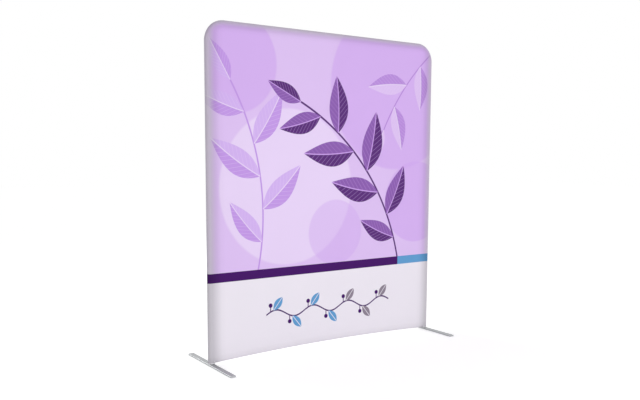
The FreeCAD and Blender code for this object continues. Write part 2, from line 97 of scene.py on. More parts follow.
# %% [markdown]
# The camera
#
# The photograph looks at the wall from its left, a little above the wall's middle. The lens, place
# and turn come from a least-squares fit of the wall's corners, edges and feet. The photograph is
# cut out of a larger picture, so its optical centre isn't its middle, and a small shift says by
# how much. A camera, a lamp or a mesh is in the scene only as an object, so one helper makes those.

# %% Camera
SENSOR_WIDTH, LENS = 36.0, 40.05
LENS_SHIFT = (0.0264, 0.0542)
CAMERA_PLACE = (-3.0555, -4.2812, 1.4086)
YAW, PITCH, ROLL = (math.radians(angle) for angle in (33.46, -6.18, 0.1153))


def in_scene(name, data):
    """An object that holds a camera, lamp or mesh, linked to the scene."""
    made = bpy.data.objects.new(name, data)
    bpy.context.scene.collection.objects.link(made)
    return made


camera = in_scene("camera", bpy.data.cameras.new("camera"))
bpy.context.scene.camera = camera
camera.data.sensor_width, camera.data.lens = SENSOR_WIDTH, LENS
camera.data.shift_x, camera.data.shift_y = LENS_SHIFT
turn = Matrix.Rotation(-YAW, 4, "Z") @ Matrix.Rotation(math.pi / 2 + PITCH, 4, "X")
turn = turn @ Matrix.Rotation(ROLL, 4, "Z")
camera.matrix_world = Matrix.Translation(CAMERA_PLACE) @ turn
print("camera at", tuple(round(value, 3) for value in camera.matrix_world.translation))

# %% [markdown]
# Shader maths
#
# A pattern is arithmetic on places. Written as nodes by hand it takes pages, so a small class wraps
# a number in the shader and lets Python's own signs add the Math nodes. Every node comes from one
# method, which takes its type, its settings and what its sockets hold. A finish is one material.


# %% Readings
class Reading:
    """A number that changes over a surface. Arithmetic on it adds Math nodes."""

    def __init__(self, shade, socket):
        self.shade, self.socket = shade, socket

    def __add__(self, other):
        return self.shade.maths("ADD", self, other)

    def __sub__(self, other):
        return self.shade.maths("SUBTRACT", self, other)

    def __rsub__(self, other):
        return self.shade.maths("SUBTRACT", other, self)

    def __mul__(self, other):
        return self.shade.maths("MULTIPLY", self, other)

    def __truediv__(self, other):
        return self.shade.maths("DIVIDE", self, other)

    def __abs__(self):
        return self.shade.maths("ABSOLUTE", self)

    __radd__ = __add__
    __rmul__ = __mul__


class Shade:
    """A tree of shader nodes, of a material or of the world."""

    def __init__(self, tree):
        self.tree = tree

    def node(self, kind, inputs, stops=(), **settings):
        """Adds a node: its settings first, then the values or links of its sockets."""
        made = self.tree.nodes.new("ShaderNode" + kind)
        for key, value in settings.items():
            setattr(made, key, value)
        for index, (place, tone) in enumerate(stops):
            ramp = made.color_ramp.elements
            stop = ramp[index] if index < 2 else ramp.new(place)
            stop.position, stop.color = place, (tone, tone, tone, 1)
        for key, value in inputs.items():
            self.join(value, made.inputs[key])
        return made

    def join(self, value, socket):
        """Links a reading or a socket, or sets a plain value."""
        if isinstance(value, Reading):
            value = value.socket
        if isinstance(value, bpy.types.NodeSocket):
            self.tree.links.new(value, socket)
        else:
            socket.default_value = value

    def maths(self, operation, *values):
        made = self.node("Math", dict(enumerate(values)), operation=operation)
        return Reading(self, made.outputs[0])

    def reach(self, across, up):
        """The length of a step across and up."""
        return self.maths("SQRT", across * across + up * up)

    def smooth(self, reading, low, high):
        """0 below low, 1 above high, and a soft step between them."""
        inputs = {"Value": reading, "From Min": low, "From Max": high}
        made = self.node("MapRange", inputs, interpolation_type="SMOOTHSTEP")
        return Reading(self, made.outputs[0])

    def falling(self, reading, low, high):
        """1 below low and 0 above high."""
        return 1 - self.smooth(reading, low, high)


print("one class for numbers, one for node trees")


# %% Finishes
def socket_name(key):
    """base_color is the socket Base Color."""
    return key.replace("_", " ").title().replace("Ior", "IOR")


class Finish(Shade):
    """One procedural material, with its constants set on the shader's own sockets."""

    def __init__(self, name, **constants):
        self.material = bpy.data.materials.new(name)
        self.material.use_nodes = True
        super().__init__(self.material.node_tree)
        self.shader = self.tree.nodes["Principled BSDF"]
        for key, value in constants.items():
            self.shader.inputs[socket_name(key)].default_value = value
        self.place = self.node("TexCoord", {}).outputs["Object"]
        axes = self.node("SeparateXYZ", {0: self.place})
        self.x, self.y, self.z = (Reading(self, axes.outputs[index]) for index in range(3))

    def noise(self, scale, detail=2.0, stretch=(1, 1, 1)):
        """Soft clouds, scale to the metre, drawn out by stretch."""
        spread = self.node("Mapping", {"Vector": self.place, "Scale": stretch})
        inputs = {"Vector": spread.outputs[0], "Scale": scale, "Detail": detail}
        return Reading(self, self.node("TexNoise", inputs).outputs[0])

    def mix(self, share, under, over, blend="MIX"):
        """One colour over another."""
        inputs = {0: share, 6: under, 7: over}
        made = self.node("Mix", inputs, data_type="RGBA", blend_type=blend)
        return made.outputs[2]

    def raised(self, height, depth, under=None):
        """Bumps the surface by a reading of its height, where 1 is depth metres."""
        inputs = {"Height": height, "Distance": depth, "Strength": 1.0}
        if under is not None:
            inputs["Normal"] = under
        return self.node("Bump", inputs).outputs[0]

    def feed(self, **sockets):
        """Joins what changes over the surface to the shader."""
        for key, value in sockets.items():
            self.join(value, self.shader.inputs[socket_name(key)])
        return self.material


def ink(red, green, blue):
    """A colour as a screen shows it, from 0 to 255, turned to light."""

    def light(value):
        share = value / 255
        return share / 12.92 if share <= 0.04045 else ((share + 0.055) / 1.055) ** 2.4

    return (light(red), light(green), light(blue), 1.0)


print("a middle grey as light", round(ink(128, 128, 128)[0], 3))

# %% [markdown]
# The look of the stretched cloth
#
# The cover is thin knitted polyester. Two things make it look like cloth: a fine knit that only
# shows close up, and a slight unevenness of the dye. Shade is also painted into its colour: the
# cloth turns greyer over the last hand's width inside the side and top edges, and a little above
# the bottom rail, as painted shade of the rounded edges. The distance to the frame's outline is a
# formula on places, the same on the front and the back.

# %% Cloth helpers
# How far in from the edges the painted shade reaches.
PAINTED_SHADE_REACH = 0.13
TOP_SHARE = 0.6
# The painted shade at the side and top edges: how much of its colour the cloth keeps, from the edge
# inwards. A ramp has two stops from the start, its ends, so these come first.
SIDE_PAINTED_SHADE = (
    (0.0, 0.69), (1.0, 1.0),
    (0.12, 0.67), (0.23, 0.685), (0.43, 0.80), (0.6, 0.895), (0.74, 0.965),
)
# The painted shade above the bottom rail, as a ramp of the same kind.
RAIL_PAINTED_SHADE = ((0.0, 0.88), (1.0, 1.0), (0.2, 0.92), (0.4, 0.978))
KNIT_PITCH, KNIT_HEIGHT = 0.0011, 0.00004
SLACK_HEIGHT = 0.0012
DYE_LEAST, DYE_SPREAD = 0.985, 0.03


def outline_depth(cloth):
    """The distance inwards from the cover's side and top edges, rounded corners included. It grows
    faster from the top edge, where the painted shade is narrower."""
    bend = CORNER_BEND + CLOTH_OUTSIDE
    across = abs(cloth.x) - (HALF_WIDTH - bend)
    above = (cloth.z - (WALL_TOP - bend * TOP_SHARE)) / TOP_SHARE
    past_x, past_z = cloth.maths("MAXIMUM", across, 0), cloth.maths("MAXIMUM", above, 0)
    inner_part = cloth.maths("MINIMUM", cloth.maths("MAXIMUM", across, above), 0)
    return bend - cloth.reach(past_x, past_z) - inner_part


def rail_depth(cloth):
    """The distance up from the cover's bowed lower edge."""
    lowest = RAIL_MIDDLE_Z - CLOTH_OUTSIDE
    return cloth.z - lowest + cloth.x * cloth.x / (2 * BOW_RADIUS)


def painted_shade(cloth):
    """Painted shade: the share of its colour that the cloth keeps, less near its edges and above
    the rail.
    """
    side, rail = (
        cloth.node("ValToRGB", {0: depth / PAINTED_SHADE_REACH}, stops=stops).outputs[0]
        for depth, stops in ((outline_depth(cloth), SIDE_PAINTED_SHADE), (rail_depth(cloth), RAIL_PAINTED_SHADE))
    )
    return Reading(cloth, side) * Reading(cloth, rail)


def knit(cloth):
    """A fine knit: rows and columns of loops, a fraction of a millimetre high."""
    turn_to_rows = 2 * math.pi / KNIT_PITCH
    rows = cloth.maths("SINE", cloth.z * turn_to_rows)
    columns = cloth.maths("SINE", cloth.x * turn_to_rows)
    return rows * columns


def dress_cloth(cloth, colour):
    """The finish that the printed and the plain cloth share."""
    cloudy = cloth.noise(3.0, detail=3.0)
    # Painted shade near the edges, times the dye's unevenness.
    painted_shade_and_dye = painted_shade(cloth) * (DYE_LEAST + DYE_SPREAD * cloudy)
    grey = cloth.node("CombineXYZ", dict.fromkeys(range(3), painted_shade_and_dye)).outputs[0]
    slack = cloth.raised(cloth.noise(2.2, detail=1.0), SLACK_HEIGHT)
    return cloth.feed(
        base_color=cloth.mix(1.0, colour, grey, "MULTIPLY"),
        roughness=0.72 + 0.1 * cloudy,
        normal=cloth.raised(knit(cloth), KNIT_HEIGHT, slack),
    )


# How far in the painted edge shade reaches.
print("the frame shows through over", PAINTED_SHADE_REACH, "m")

# %% [markdown]
# The printed design
#
# The printed side carries a made-up design: soft round shapes in lilac, with three sprays of leaves
# over them. A leaf is a lens drawn in its own frame: a Mapping node puts the frame where the leaf
# grows, and one formula then says what lies inside the edge, on the midrib and on the side veins.
# Drawing with formulas keeps the edges crisp however close one looks.

# %% Inks
LILAC = ink(218, 191, 238)
LILAC_PALE = ink(229, 211, 243)
LILAC_MIDDLE = ink(208, 176, 236)
LILAC_DEEP = ink(204, 163, 234)
LILAC_SHADE = ink(192, 150, 226)
ORCHID = ink(182, 138, 216)
HEATHER = ink(138, 94, 172)
PLUM = ink(90, 50, 118)
STRIPE_PLUM = ink(67, 19, 98)
STRIPE_BLUE = ink(97, 155, 204)
CLOTH_PALE = ink(234, 229, 238)
CLOTH_PLAIN = ink(233, 231, 236)
SOFT_GREY = ink(139, 128, 143)
print("the pale ink as light", [round(value, 3) for value in CLOTH_PALE[:3]])

# %% Leaves and rounds
EDGE = 0.0015
RIBS, RIB_SLANT, RIB_STRENGTH = 5.5, 2.2, 0.45


def round_mark(cloth, x, z, radius, soft):
    """A filled circle with an edge as soft as asked."""
    return cloth.falling(cloth.reach(cloth.x - x, cloth.z - z), radius - soft, radius + soft)


def leaf_marks(cloth, base, angle, length, width, bend):
    """A leaf from its base along an angle: its area, its lighter half, and its veins."""
    middle_x = base[0] + math.cos(angle) * length / 2
    middle_z = base[1] + math.sin(angle) * length / 2
    inputs = {
        "Vector": cloth.place,
        "Location": (middle_x, 0, middle_z),
        "Rotation": (0, -angle, 0),
        "Scale": (length / 2, 1, width / 2),
    }
    own = cloth.node("Mapping", inputs, vector_type="TEXTURE").outputs[0]
    axes = cloth.node("SeparateXYZ", {0: own})
    along, raw_across = (Reading(cloth, axes.outputs[index]) for index in (0, 2))
    across = raw_across - bend * (1 - along * along)
    spread = (1 - along * along) * cloth.maths("MAXIMUM", 1.05 - 0.35 * along, 0.2)
    soft = EDGE / (width / 2)
    area = cloth.smooth(spread - abs(across), -soft, soft)
    half = cloth.smooth(across, -soft, soft)
    midrib = cloth.falling(abs(across), 0.02, 0.05 + soft)
    ribs = cloth.maths("PINGPONG", along * RIBS - abs(across) * RIB_SLANT, 0.5)
    veins = cloth.maths("MAXIMUM", midrib, RIB_STRENGTH * cloth.falling(ribs, 0.02, 0.07))
    return area, half, veins


def draw_leaf(cloth, under, place, inks):
    """Draws a leaf over a colour. inks are those of its two halves and of its veins."""
    area, half, veins = leaf_marks(cloth, *place)
    body = cloth.mix(half, inks[0], inks[1])
    return cloth.mix(area, under, cloth.mix(veins, body, inks[2]))


print("soft edges of", EDGE, "m")


# %% Stems and sprays
LEAF_CURVE = 0.16
SMALLEST_LEAF = 0.66


def arc_through(low, middle, high):
    """The centre, radius and two angles of the arc that starts, passes and ends at three places."""
    (ax, az), (bx, bz), (cx, cz) = low, middle, high
    twice = 2 * (ax * (bz - cz) + bx * (cz - az) + cx * (az - bz))
    squares = [x * x + z * z for x, z in (low, middle, high)]
    x = (squares[0] * (bz - cz) + squares[1] * (cz - az) + squares[2] * (az - bz)) / twice
    z = (squares[0] * (cx - bx) + squares[1] * (ax - cx) + squares[2] * (bx - ax)) / twice
    start, end = (math.atan2(place[1] - z, place[0] - x) for place in (low, high))
    end = start + math.remainder(end - start, 2 * math.pi)
    return (x, z), math.hypot(ax - x, az - z), start, end


def draw_stem(cloth, under, arc, thick, colour):
    """A thin arc between two angles, as the stem of a spray."""
    centre, radius, start, end = arc
    off_x, off_z = cloth.x - centre[0], cloth.z - centre[1]
    reach = cloth.reach(off_x, off_z)
    line = cloth.falling(abs(reach - radius), thick / 2 - EDGE, thick / 2 + EDGE)
    middle, half = (start + end) / 2, abs(end - start) / 2
    towards = off_x * math.cos(middle) + off_z * math.sin(middle)
    inside = cloth.smooth(towards - reach * math.cos(half), -EDGE, EDGE)
    return cloth.mix(line * inside, under, colour)


def draw_spray(cloth, under, spray):
    """A stem with leaves on both sides, smaller towards both ends, and one at the tip."""
    arc = arc_through(*spray["through"])
    centre, radius, start, end = arc
    under = draw_stem(cloth, under, arc, spray["stem"], spray["inks"][0])
    last = spray["count"] - 1
    for index in range(1, spray["count"]):
        share = index / last
        turned = start + (end - start) * share
        base = (centre[0] + radius * math.cos(turned), centre[1] + radius * math.sin(turned))
        way = turned + math.copysign(math.pi / 2, end - start)
        side = 0 if index == last else (1 if index % 2 else -1)
        grown = SMALLEST_LEAF + (1 - SMALLEST_LEAF) * math.sin(math.pi * share)
        length = spray["length"] * grown
        growth = way + side * spray["spread"]
        place = (base, growth, length, length * spray["slim"], side * LEAF_CURVE)
        dark, light, vein = spray["inks"]
        inks = (light, dark, vein) if index % 2 else (dark, light, vein)
        under = draw_leaf(cloth, under, place, inks)
    return under


SPRAYS = (
    {
        "through": ((-0.62, 0.60), (-0.60, 1.32), (-0.82, 1.92)),
        "stem": 0.012, "count": 7, "length": 0.46, "slim": 0.36, "spread": 0.82,
        "inks": (LILAC_SHADE, LILAC_MIDDLE, LILAC_PALE),
    },
    {
        "through": ((1.02, 2.26), (0.70, 1.94), (0.50, 1.62)),
        "stem": 0.010, "count": 5, "length": 0.38, "slim": 0.38, "spread": 0.80,
        "inks": (ORCHID, LILAC, LILAC_PALE),
    },
    {
        "through": ((0.66, 0.60), (0.36, 1.28), (-0.26, 1.80)),
        "stem": 0.014, "count": 9, "length": 0.46, "slim": 0.38, "spread": 0.84,
        "inks": (PLUM, HEATHER, LILAC_DEEP),
    },
)
print("leaves", sum(spray["count"] - 1 for spray in SPRAYS))

# %% [markdown]
# The vine
#
# The pale foot of the wall carries a small waving vine. It could be drawn leaf by leaf, as the
# sprays are. But its parts repeat, so the place along the wall is divided by the length of one
# cell, and the remainder draws the same hump, leaf and berry again, turned over in every second
# cell.

# %% Vine
VINE_START, VINE_CELL, VINE_CELLS = -0.55, 0.16, 7
VINE_Z, VINE_WAVE, VINE_LINE = 0.30, 0.030, 0.008
VINE_LEAF_X, VINE_LEAF_Z, VINE_LEAF_ANGLE = 0.018, 0.073, 0.88
VINE_LEAF_LENGTH, VINE_LEAF_WIDTH = 0.118, 0.060
BERRY_X, BERRY_Z, BERRY_RADIUS = -0.044, 0.066, 0.0145
STALK, STALK_FOOT = 0.004, 0.016
VINE_CHANGE_X = VINE_START + 4 * VINE_CELL


def vine_leaf(cloth, own_x, own_z):
    """The leaf of one cell: its area and its rib."""
    off_x, off_z = own_x - VINE_LEAF_X, own_z - VINE_LEAF_Z
    cosine, sine = math.cos(VINE_LEAF_ANGLE), math.sin(VINE_LEAF_ANGLE)
    along = (off_x * cosine + off_z * sine) / (VINE_LEAF_LENGTH / 2)
    across = (off_z * cosine - off_x * sine) / (VINE_LEAF_WIDTH / 2)
    soft = EDGE / (VINE_LEAF_WIDTH / 2)
    area = cloth.smooth(1 - along * along - abs(across), -soft, soft)
    return area, cloth.falling(abs(across), 0.03, 0.12)


def vine_berry(cloth, own_x, own_z):
    """The berry of one cell, with its stalk."""
    off_x, off_z = own_x - BERRY_X, own_z - BERRY_Z
    berry = cloth.falling(cloth.reach(off_x, off_z), BERRY_RADIUS, BERRY_RADIUS + 2 * EDGE)
    stalk = cloth.falling(abs(off_x), STALK / 2, STALK / 2 + 2 * EDGE)
    stalk = stalk * cloth.smooth(own_z, STALK_FOOT, STALK_FOOT + 2 * EDGE)
    return cloth.maths("MAXIMUM", berry, stalk * cloth.falling(off_z, -STALK, 0.0))


def draw_vine(cloth, under):
    """The waving line with its leaves and berries."""
    cells = (cloth.x - VINE_START) / VINE_CELL
    number = cloth.maths("FLOOR", cells)
    side = 1 - 2 * cloth.maths("FLOORED_MODULO", number, 2)
    own_x = (cells - number - 0.5) * VINE_CELL
    own_z = (cloth.z - VINE_Z) * side
    hump = VINE_WAVE * cloth.maths("COSINE", own_x * math.pi / VINE_CELL)
    line = cloth.falling(abs(own_z - hump), VINE_LINE / 2, VINE_LINE / 2 + 2 * EDGE)
    leaf, rib = vine_leaf(cloth, own_x, own_z)
    berry = vine_berry(cloth, own_x, own_z)
    within = cloth.smooth(cells, 0, 0.01) * cloth.falling(cells, VINE_CELLS, VINE_CELLS + 0.01)
    change = cloth.smooth(cloth.x, VINE_CHANGE_X, VINE_CHANGE_X + 0.001)
    leaf_ink = cloth.mix(rib, cloth.mix(change, STRIPE_BLUE, SOFT_GREY), CLOTH_PALE)
    drawn = cloth.mix(line * within, under, STRIPE_PLUM)
    drawn = cloth.mix(leaf * within, drawn, leaf_ink)
    return cloth.mix(berry * within, drawn, STRIPE_PLUM)


print("the vine changes ink at", round(VINE_CHANGE_X, 3))

# %% [markdown]
# The whole print
#
# The print is laid down from the back: soft rounds, sprays, a fading towards the cloth's edges, the
# plain stripe in two colours and the pale foot. Each step mixes its ink over what lies there, as a
# printer's layers would. The plain cloth of the back shares everything but the print.

# %% The printed cloth
STRIPE_LOW, STRIPE_HIGH = 0.568, 0.632
STRIPE_CHANGE_X = 0.659
FADE_SHARE, FADE_REACH = 0.75, 0.07
CLOTH_GLOSS = 0.12
ROUNDS = (
    (0.62, 1.94, 0.62, 0.012, LILAC_DEEP, 0.6),
    (-0.36, 1.20, 0.55, 0.012, LILAC_PALE, 0.9),
    (-0.80, 2.04, 0.34, 0.010, LILAC_DEEP, 0.6),
    (0.84, 1.06, 0.32, 0.008, LILAC_DEEP, 0.6),
    (0.05, 0.86, 0.24, 0.008, LILAC_DEEP, 0.4),
)


def printed_foot(cloth, above):
    """The plain stripe in two colours, and the pale cloth below it."""
    change = cloth.smooth(cloth.x, STRIPE_CHANGE_X - EDGE, STRIPE_CHANGE_X + EDGE)
    stripe = cloth.mix(change, STRIPE_PLUM, STRIPE_BLUE)
    below_top = cloth.falling(cloth.z, STRIPE_HIGH - EDGE, STRIPE_HIGH + EDGE)
    below_stripe = cloth.falling(cloth.z, STRIPE_LOW - EDGE, STRIPE_LOW + EDGE)
    striped = cloth.mix(below_top, above, stripe)
    return cloth.mix(below_stripe, striped, draw_vine(cloth, CLOTH_PALE))


printed = Finish("printed_cloth", specular_ior_level=CLOTH_GLOSS)
design = LILAC
for x, z, radius, soft, colour, share in ROUNDS:
    design = printed.mix(share * round_mark(printed, x, z, radius, soft), design, colour)
for spray in SPRAYS:
    design = draw_spray(printed, design, spray)
faded = FADE_SHARE * printed.falling(outline_depth(printed), 0.0, FADE_REACH)
design = printed_foot(printed, printed.mix(faded, design, CLOTH_PALE))
printed_cloth = dress_cloth(printed, design)
plain_cloth = dress_cloth(Finish("plain_cloth", specular_ior_level=CLOTH_GLOSS), CLOTH_PLAIN)
print("nodes in the printed cloth", len(printed.tree.nodes))

# %% [markdown]
# Steps that many pieces share
#
# A sheet is drawn out of a chain of edges, as cloth comes off a roll. Half of it is modelled and
# mirrored, its faces are turned outwards, and it becomes an object that rides on a body of the
# frame. These few helpers do that for the cover, the zip and the bindings.

# %% Shared steps
NEAR = 1e-5


def only(kind, parts):
    """The vertices, edges or faces among parts."""
    return [part for part in parts if isinstance(part, kind)]


def everything(bm):
    """All that a bmesh holds, as its operators take it."""
    return bm.verts[:] + bm.edges[:] + bm.faces[:]


def drawn_out(bm, edges, moves):
    """Extrudes a chain of edges once for each move, and returns the last chain."""
    for move in moves:
        parts = bmesh.ops.extrude_edge_only(bm, edges=edges)["geom"]
        points = only(bmesh.types.BMVert, parts)
        edges = only(bmesh.types.BMEdge, parts)
        if callable(move):
            for point in points:
                point.co = move(point.co)
        else:
            bmesh.ops.translate(bm, verts=points, vec=move)
        keep = set(points)
        edges = [edge for edge in edges if keep.issuperset(edge.verts)]
    return edges


def mirrored(bm, merge=0.0):
    """Adds the right half of what is modelled on the left."""
    bmesh.ops.mirror(bm, geom=everything(bm), axis="X", merge_dist=merge)


def faced(bm, way):
    """Turns the faces of a sheet to the back of the wall, or to its front where way is -1."""
    bmesh.ops.recalc_face_normals(bm, faces=bm.faces)
    if way * sum(face.normal.y * face.calc_area() for face in bm.faces) < 0:
        bmesh.ops.reverse_faces(bm, faces=bm.faces)


def made_piece(name, bm, finish, slot, body="frame", smooth=True):
    """Turns a bmesh into a piece with a finish. It rides on a body, and its faces are smooth or
    flat. None leaves either as it is."""
    mesh = bpy.data.meshes.new(name)
    bm.to_mesh(mesh)
    bm.free()
    mesh.materials.append(finish)
    if smooth is not None:
        for face in mesh.polygons:
            face.use_smooth = smooth
    piece = in_scene(name, mesh)
    if body is not None:
        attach(piece, body)
    print(name, "faces", len(mesh.polygons))
    return piece


def with_thickness(piece, thickness=CLOTH_THICKNESS):
    """Gives a sheet its thickness, inwards from the modelled face."""
    solid = piece.modifiers.new("thickness", "SOLIDIFY")
    solid.thickness, solid.offset = thickness, -1
    return piece


print("points nearer than", NEAR, "m are one")

# %% [markdown]
# The cover
#
# The cover is two sheets that meet in a seam on the outside of the tubes. Each sheet is taut: flat
# between the tubes, a quarter round over the side and top tubes, and a doughnut's quarter at the
# bent corners. So the sheet is made the way the tube is: a section of the cloth is spun round the
# corner, extruded down the side and along the top, and its inner edge drawn across the wall. The
# front sheet goes on round the bottom rail to the zip.

# %% The cloth's section
SEAM_LIP, SEAM_RISE, SEAM_START = math.radians(14), 0.0009, 0.12


def cloth_section(bm, front):
    """The cloth's section at a corner: from the seam, round the tube, to the corner's centre."""
    middle = Vector((-UPRIGHT_X, 0, BEND_Z))
    last = bm.verts.new(middle - Vector((CLOTH_OUTSIDE, 0, 0)))
    for angle, steps in ((SEAM_LIP, 4), (math.pi / 2 - SEAM_LIP, 8)):
        turned = bmesh.ops.spin(
            bm, geom=[last], cent=middle, axis=Z_AXIS, angle=-front * angle, steps=steps
        )
        last = only(bmesh.types.BMVert, turned["geom_last"])[0]
    for distance, steps in ((UPRIGHT_X - FLAP_X, 2), (FLAP_X - BEND_X, 5)):
        for _ in range(steps):
            parts = bmesh.ops.extrude_vert_indiv(bm, verts=[last])
            last = parts["verts"][0]
            last.co.x += distance / steps
    return bm.edges[:]


def lift_seam(bm):
    """The allowances inside the seam lift the cloth beside it, and the stitches hold a groove."""
    for point in bm.verts:
        out = Vector((point.co.x + UPRIGHT_X, point.co.y, 0))
        angle = math.atan2(abs(point.co.y), -out.x)
        if angle < SEAM_LIP * 1.01:
            share = min(1, SEAM_START + (1 - SEAM_START) * angle / SEAM_LIP)
            point.co += out.normalized() * SEAM_RISE * math.sin(math.pi * share)


def chain_at(edges, test):
    """The edges whose two ends both pass a test."""
    return [edge for edge in edges if all(test(end.co) for end in edge.verts)]


print("the seam's lip is", round(CLOTH_OUTSIDE * SEAM_LIP * 1000, 1), "mm wide")

# %% The cover's lower edge
LOW_Z = 0.16
HEM_RISE, HEM_WIDTH = 0.0009, 0.006
# The hem's steps over the tape: how far across it, and how far out.
HEM = ((0.0006, 0.0003), (0.0012, HEM_RISE), (HEM_WIDTH - 0.0006, HEM_RISE), (HEM_WIDTH, 0.0006))
WRAP_STEPS = 14


def lower_cover(bm, front):
    """The flaps above the feet, and the lower edge that follows the bowed rail."""
    rise, hem_way = (0.0, 1) if front < 0 else (ZIP_HEIGHT, -1)
    start = bow_height(FLAP_X, rise)
    low = chain_at(bm.edges, lambda co: abs(co.z - LOW_Z) < NEAR)
    flap = chain_at(low, lambda co: co.x < -FLAP_X + NEAR)
    flap = drawn_out(bm, flap, [(0, 0, (start - LOW_Z) / 3)] * 3)
    drawn_out(bm, flap, [(0, 0, (COVER_FOOT_Z - start) / 2)] * 2)

    def towards_rail(step):
        return lambda co: Vector(
            (co.x, co.y, LOW_Z + (bow_height(co.x, rise) - LOW_Z) * step / 3)
        )

    def round_rail(step):
        angle = math.pi * step / WRAP_STEPS
        out, down = -CLOTH_OUTSIDE * math.cos(angle), CLOTH_OUTSIDE * math.sin(angle)
        return lambda co: Vector((co.x, out, bow_height(co.x) - down))

    def over_tape(up, out):
        return lambda co: Vector(
            (co.x, CLOTH_OUTSIDE + out, bow_height(co.x, rise + hem_way * up))
        )

    middle = chain_at(low, lambda co: co.x > -FLAP_X - NEAR)
    middle = drawn_out(bm, middle, [towards_rail(step) for step in (1, 2, 3)])
    if front < 0:
        middle = drawn_out(bm, middle, [round_rail(step + 1) for step in range(WRAP_STEPS)])
    drawn_out(bm, middle, [over_tape(up, out) for up, out in HEM])


print("the hem is", HEM_WIDTH * 1000, "mm wide")

# %% The two sheets
BEND_STEPS, RUN_STEPS, SIDE_STEPS = 18, 20, 24


def cover_sheet(front):
    """One sheet of the cover. front is -1 for the printed sheet and 1 for the one at the back."""
    bm = bmesh.new()
    section = cloth_section(bm, front)
    lift_seam(bm)
    spun = bmesh.ops.spin(
        bm,
        geom=section + bm.verts[:],
        cent=(-BEND_X, 0, BEND_Z),
        axis=Y_AXIS,
        angle=math.pi / 2,
        steps=BEND_STEPS,
    )
    run = [(BEND_X / RUN_STEPS, 0, 0)] * RUN_STEPS
    drawn_out(bm, only(bmesh.types.BMEdge, spun["geom_last"]), run)
    drawn_out(bm, section, [(0, 0, -(BEND_Z - LOW_Z) / SIDE_STEPS)] * SIDE_STEPS)
    inner = chain_at(
        bm.edges, lambda co: abs(co.x + BEND_X) < NEAR and LOW_Z - NEAR < co.z < BEND_Z + NEAR
    )
    drawn_out(bm, inner, run)
    bmesh.ops.remove_doubles(bm, verts=bm.verts, dist=NEAR)
    lower_cover(bm, front)
    mirrored(bm, NEAR)
    bmesh.ops.remove_doubles(bm, verts=bm.verts, dist=NEAR)
    faced(bm, front)
    return bm


for name, front, finish, slot, node in (
    ("cover_front", -1, printed_cloth, "printed_cloth", "front_panel"),
    ("cover_back", 1, plain_cloth, "plain_cloth", "back_panel"),
):
    piece = with_thickness(made_piece(name, cover_sheet(front), finish, slot))
    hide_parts(node)

# %% [markdown]
# The zip's tapes
#
# The zip is what lets the cover come off. It has two woven tapes that the cloth is sewn to. All of
# the zip follows the rail's arc, so a short piece is made at the middle of the wall and spun about
# the arc's far centre. For a tape that is one line across its width, which makes one sheet.

# %% Zip tapes
FLAP_BOW = BOW_RADIUS * math.asin(FLAP_X / BOW_RADIUS)
ZIP_END = FLAP_BOW - 0.0025
RAIL_TOP = Vector((0, 0, RAIL_MIDDLE_Z))
TAPE_STEPS = 64
TAPE_RIBS, TAPE_THREADS, WEAVE_HEIGHT = 700, 1400, 0.00008
# Places across the tape and how far each stands out: the edge that holds the teeth is thicker.
TAPE_PROFILE = (
    (0.0, 0.0), (0.25, 0.0), (0.5, 0.0), (0.75, 0.0), (0.88, 0.0002), (0.95, 0.0005), (1.0, 0.0003),
)


def turned_to(bm, parts, distance):
    """Moves parts drawn at the wall's middle along the rail."""
    turn_by = Matrix.Rotation(distance / BOW_RADIUS, 3, "Y")
    bmesh.ops.rotate(bm, verts=only(bmesh.types.BMVert, parts), cent=BOW_CENTRE, matrix=turn_by)


def swept_along(bm, start, end, steps):
    """Sweeps a line drawn at the wall's middle along the rail, as one sheet."""
    turned_to(bm, bm.verts[:], start)
    bmesh.ops.spin(
        bm,
        geom=everything(bm),
        cent=BOW_CENTRE,
        axis=Y_AXIS,
        angle=(end - start) / BOW_RADIUS,
        steps=steps,
    )


def woven_tape_finish():
    """White tape with a herringbone weave."""
    tape = Finish("woven_tape", specular_ior_level=0.2)
    ribs = tape.maths("PINGPONG", tape.z * TAPE_RIBS, 0.5)
    weave = tape.maths("SINE", (tape.x * TAPE_THREADS + ribs * 2.0) * math.pi)
    return tape.feed(
        base_color=tape.mix(0.5 + 0.5 * weave, ink(216, 214, 219), ink(232, 230, 234)),
        roughness=0.8 + 0.05 * weave,
        normal=tape.raised(weave, WEAVE_HEIGHT),
    )


def chained(bm, places):
    """A chain of edges through places."""
    points = [bm.verts.new(place) for place in places]
    return [bm.edges.new(pair) for pair in zip(points, points[1:])]


def tape_sheet(low, toothed_edge_up):
    """A strip across the tape's width, thicker at the edge that holds the teeth."""
    bm = bmesh.new()
    places = []
    for share, out in TAPE_PROFILE:
        up = share if toothed_edge_up else 1 - share
        places.append(RAIL_TOP + Vector((0, CLOTH_OUTSIDE + out, low + up * TAPE_WIDTH)))
    chained(bm, places)
    swept_along(bm, -ZIP_END, ZIP_END, TAPE_STEPS)
    faced(bm, 1)
    return bm


woven_tape = woven_tape_finish()
for node, low, edge_up in (
    ("zip_tape_lower", 0.0, True),
    ("zip_tape_upper", ZIP_HEIGHT - TAPE_WIDTH, False),
):
    piece = made_piece(node + "_weave", tape_sheet(low, edge_up), woven_tape, "zip_tape")
    with_thickness(piece)
    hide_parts(node)

# %% [markdown]
# The zip's teeth
#
# Each tape carries a row of moulded teeth. A tooth is a clamp on the tape's edge and a head that
# reaches into the other row's gap, so the rows stand half a pitch apart. One tooth is made of two
# eased blocks, and the spin that makes the tape sets down separate copies of it. At the open end a
# few teeth have no head, which leaves room for the slider's wedge.


